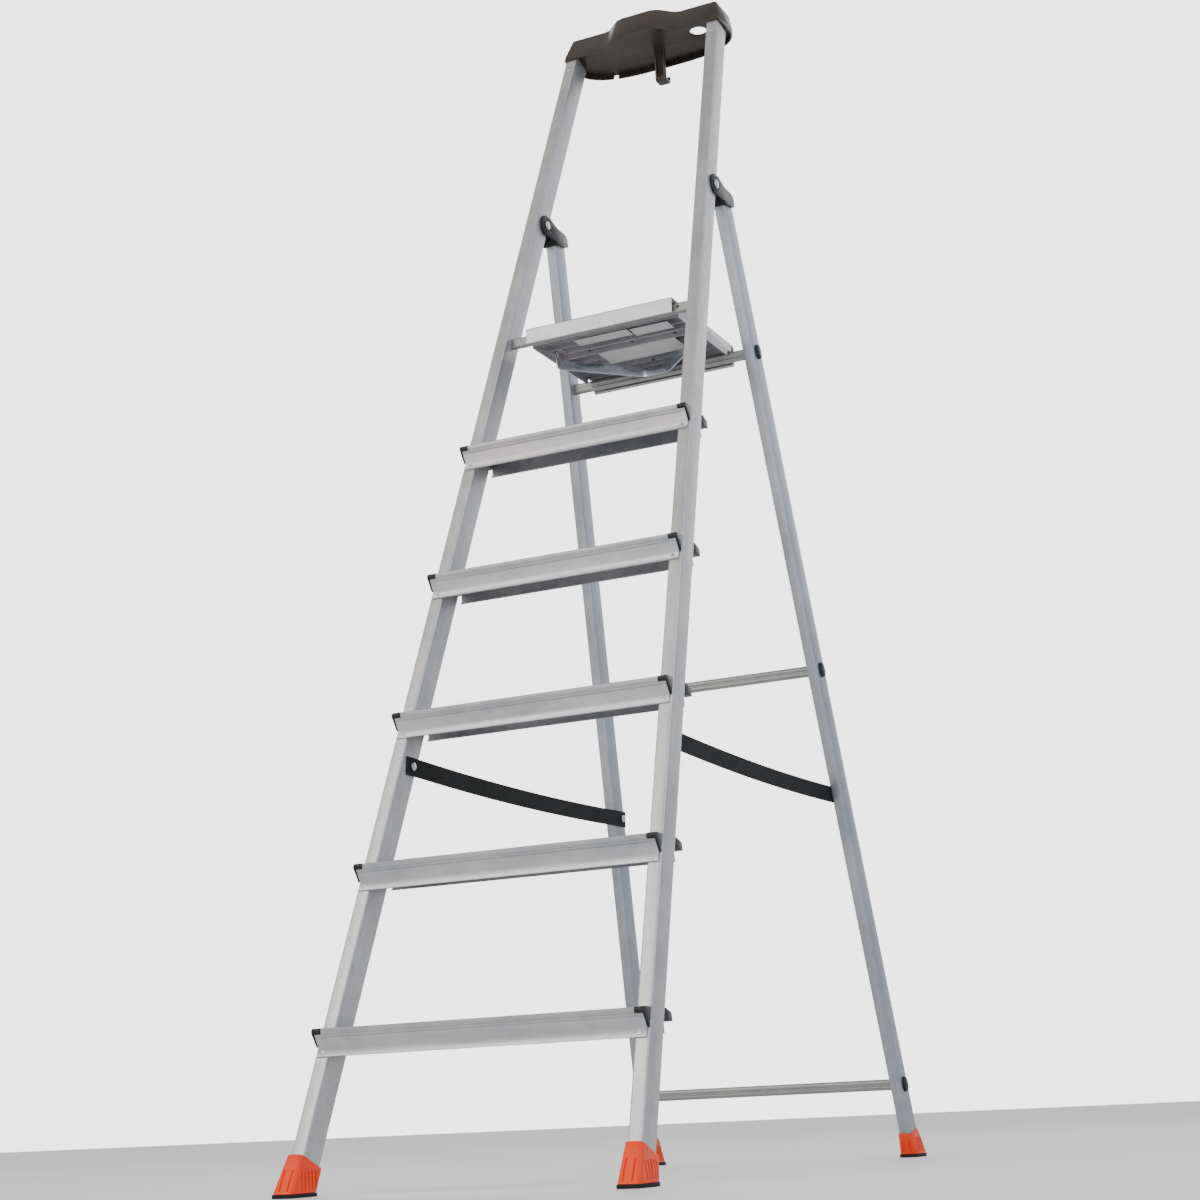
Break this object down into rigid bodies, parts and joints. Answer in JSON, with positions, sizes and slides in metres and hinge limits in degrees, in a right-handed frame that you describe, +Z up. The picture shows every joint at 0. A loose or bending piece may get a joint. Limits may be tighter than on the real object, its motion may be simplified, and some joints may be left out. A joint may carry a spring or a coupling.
{
  "type": "step ladder",
  "caption": "Folding aluminium step ladder with broad treads, a tip-up platform, a tool tray with a bucket hook and a hinged rear frame held by two straps.",
  "frame": {"origin": "on the floor under the middle of the ladder's footprint, standing open", "axes": "+Z up; -Y is the climbing side; +X is to the climber's right"},
  "size_m": [0.5076, 1.1176, 1.932],
  "materials": {
    "aluminium": "brushed",
    "tread": "ribbed satin",
    "steel": "zinc plated",
    "black": "moulded",
    "tray": "moulded",
    "webbing": "woven",
    "orange": "moulded",
    "rubber": "matte"
  },
  "bodies": {
    "front_frame": {"stile_left": "aluminium", "stile_right": "aluminium", "step_1": "tread", "step_2": "tread", "step_3": "tread", "step_4": "tread", "step_5": "tread", "step_1_cap_left": "black", "step_1_cap_right": "black", "step_2_cap_left": "black", "step_2_cap_right": "black", "step_3_cap_left": "black", "step_3_cap_right": "black", "step_4_cap_left": "black", "step_4_cap_right": "black", "step_5_cap_left": "black", "step_5_cap_right": "black", "tool_tray": "tray", "tray_rivet_left": "steel", "tray_rivet_right": "steel", "platform_front_bar": "aluminium", "front_boot_left": "orange", "front_boot_right": "orange", "front_sole_left": "rubber", "front_sole_right": "rubber", "hinge_pin_left": "steel", "hinge_pin_right": "steel", "strap_left": "webbing", "strap_right": "webbing", "strap_rivet_front_left": "steel", "strap_rivet_front_right": "steel"},
    "rear_frame": {"rear_leg_left": "aluminium", "rear_leg_right": "aluminium", "rear_bar_lower": "aluminium", "rear_bar_middle": "aluminium", "rear_bar_top": "aluminium", "bar_cap_lower_left": "black", "bar_cap_lower_right": "black", "bar_cap_middle_left": "black", "bar_cap_middle_right": "black", "bar_cap_top_left": "black", "bar_cap_top_right": "black", "hinge_cap_left": "black", "hinge_cap_right": "black", "rear_boot_left": "orange", "rear_boot_right": "orange", "rear_sole_left": "rubber", "rear_sole_right": "rubber", "strap_rivet_rear_left": "steel", "strap_rivet_rear_right": "steel"},
    "platform": {"platform_deck": "tread", "bail_rivet_left": "steel", "bail_rivet_right": "steel"},
    "platform_bail_body": {"platform_bail": "steel"}
  },
  "joints": [
    {"name": "rear_frame_hinge", "type": "hinge", "parent": "front_frame", "child": "rear_frame", "pos_m": [0, 0.09, 1.533], "axis": [-1, 0, 0], "range_deg": [0, 35.2], "deforming": ["strap_left", "strap_right"]},
    {"name": "platform_hinge", "type": "hinge", "parent": "front_frame", "child": "platform", "pos_m": [0, -0.014, 1.29], "axis": [1, 0, 0], "range_deg": [0, 67]},
    {"name": "platform_bail_hinge", "type": "hinge", "parent": "platform", "child": "platform_bail_body", "pos_m": [0, 0.077, 1.297], "axis": [-1, 0, 0], "range_deg": [0, 35]}
  ],
  "couplings": [
    {"joint": "platform_hinge", "follows": "rear_frame_hinge", "ratio": 1.9}
  ]
}
